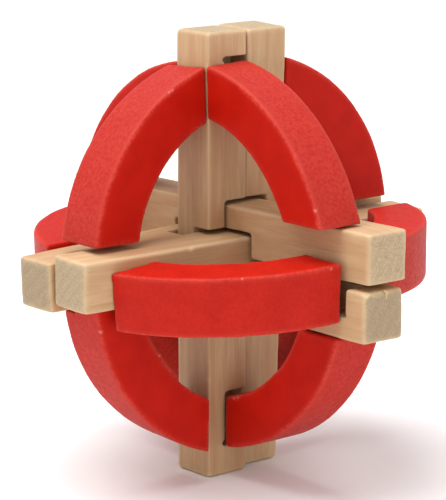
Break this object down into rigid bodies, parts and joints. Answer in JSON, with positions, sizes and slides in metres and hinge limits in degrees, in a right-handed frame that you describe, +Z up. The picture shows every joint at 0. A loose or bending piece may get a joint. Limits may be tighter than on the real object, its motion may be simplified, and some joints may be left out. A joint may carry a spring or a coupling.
{
  "type": "burr puzzle",
  "caption": "Interlocking wooden burr puzzle of square sticks crossing in pairs, dressed with painted quarter-ring arcs that outline a ball; a plain key stick slides out to open it.",
  "frame": {"origin": "centre of the puzzle's box, which is the centre of the ball of arcs", "axes": "+Z up along the two posts that the puzzle stands on, +X towards the end that the key stick leaves by, +Y to the right along the two cross sticks"},
  "size_m": [0.0896, 0.0908, 0.0908],
  "materials": {
    "bare_wood": "matt, sanded, unvarnished",
    "red_paint": "matt red paint on wood"
  },
  "bodies": {
    "key_piece": {"key_stick": "bare_wood", "front_right_arc": "red_paint", "bottom_front_arc": "red_paint"},
    "slotted_piece": {"slotted_stick": "bare_wood", "front_left_arc": "red_paint", "back_left_arc": "red_paint"},
    "upper_piece": {"upper_cross_stick": "bare_wood", "back_right_arc": "red_paint"},
    "lower_piece": {"lower_cross_stick": "bare_wood", "bottom_right_arc": "red_paint", "bottom_left_arc": "red_paint"},
    "front_piece": {"front_post": "bare_wood", "top_front_arc": "red_paint", "top_right_arc": "red_paint", "top_left_arc": "red_paint"},
    "back_piece": {"back_post": "bare_wood", "top_back_arc": "red_paint", "bottom_back_arc": "red_paint"}
  },
  "joints": [
    {"name": "key_slide", "type": "slide", "parent": "front_piece", "child": "key_piece", "axis": [1, 0, 0], "range_m": [0, 0.095]},
    {"name": "slotted_play", "type": "slide", "parent": "front_piece", "child": "slotted_piece", "axis": [1, 0, 0], "range_m": [-0.0002, 0.0002]},
    {"name": "upper_play", "type": "slide", "parent": "front_piece", "child": "upper_piece", "axis": [0, 1, 0], "range_m": [-0.0002, 0.0002]},
    {"name": "lower_play", "type": "slide", "parent": "front_piece", "child": "lower_piece", "axis": [0, 1, 0], "range_m": [-0.0002, 0.0002]},
    {"name": "back_lift", "type": "slide", "parent": "front_piece", "child": "back_piece", "axis": [0, 0, 1], "range_m": [0, 0.0003]}
  ]
}
